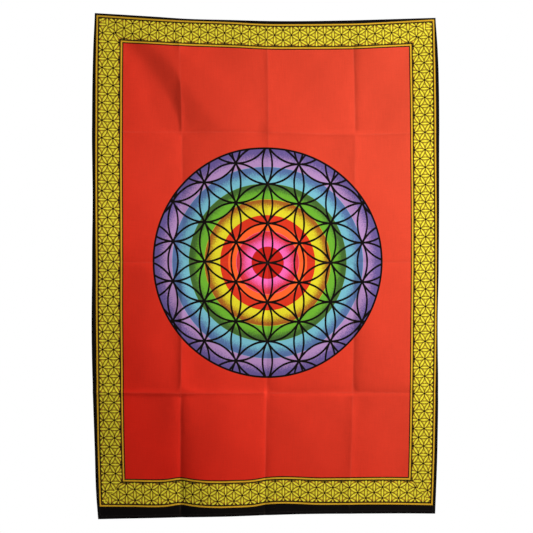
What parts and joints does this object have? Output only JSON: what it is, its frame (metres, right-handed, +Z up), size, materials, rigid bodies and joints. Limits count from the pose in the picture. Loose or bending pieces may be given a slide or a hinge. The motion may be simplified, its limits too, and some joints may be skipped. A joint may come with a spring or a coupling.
{
  "type": "tapestry wall hanging",
  "caption": "Portrait printed cotton wall hanging with sewn hems, hung by its top corners with a slight sag between them, folding up along a pressed crease across its middle.",
  "frame": {"origin": "on the back face of the top hem, midway along it, 4 mm below its top edge, where it meets the wall", "axes": "+X to the viewer's right, +Y into the wall, +Z up; the printed face looks along -Y"},
  "size_m": [0.7584, 0.0013, 1.1085],
  "materials": {
    "printed_cotton": "matt plain-weave cotton, screen printed in red, yellow, green, blue and violet",
    "hem_cotton": "matt black-printed cotton, turned twice and sewn",
    "sewing_thread": "black spun thread with a slight lustre"
  },
  "bodies": {
    "upper_half": {"upper_cloth": "printed_cotton", "top_hem": "hem_cotton", "left_hem_upper": "hem_cotton", "right_hem_upper": "hem_cotton", "top_needle_thread": "sewing_thread", "left_needle_thread_upper": "sewing_thread", "right_needle_thread_upper": "sewing_thread", "top_bobbin_thread": "sewing_thread", "left_bobbin_thread_upper": "sewing_thread", "right_bobbin_thread_upper": "sewing_thread"},
    "lower_half": {"lower_cloth": "printed_cotton", "bottom_hem": "hem_cotton", "left_hem_lower": "hem_cotton", "right_hem_lower": "hem_cotton", "bottom_needle_thread": "sewing_thread", "left_needle_thread_lower": "sewing_thread", "right_needle_thread_lower": "sewing_thread", "bottom_bobbin_thread": "sewing_thread", "left_bobbin_thread_lower": "sewing_thread", "right_bobbin_thread_lower": "sewing_thread"}
  },
  "joints": [
    {"name": "middle_fold", "type": "hinge", "parent": "upper_half", "child": "lower_half", "pos_m": [0, -0.00605, -0.525], "axis": [-1, 0, 0], "range_deg": [0, 165]}
  ]
}
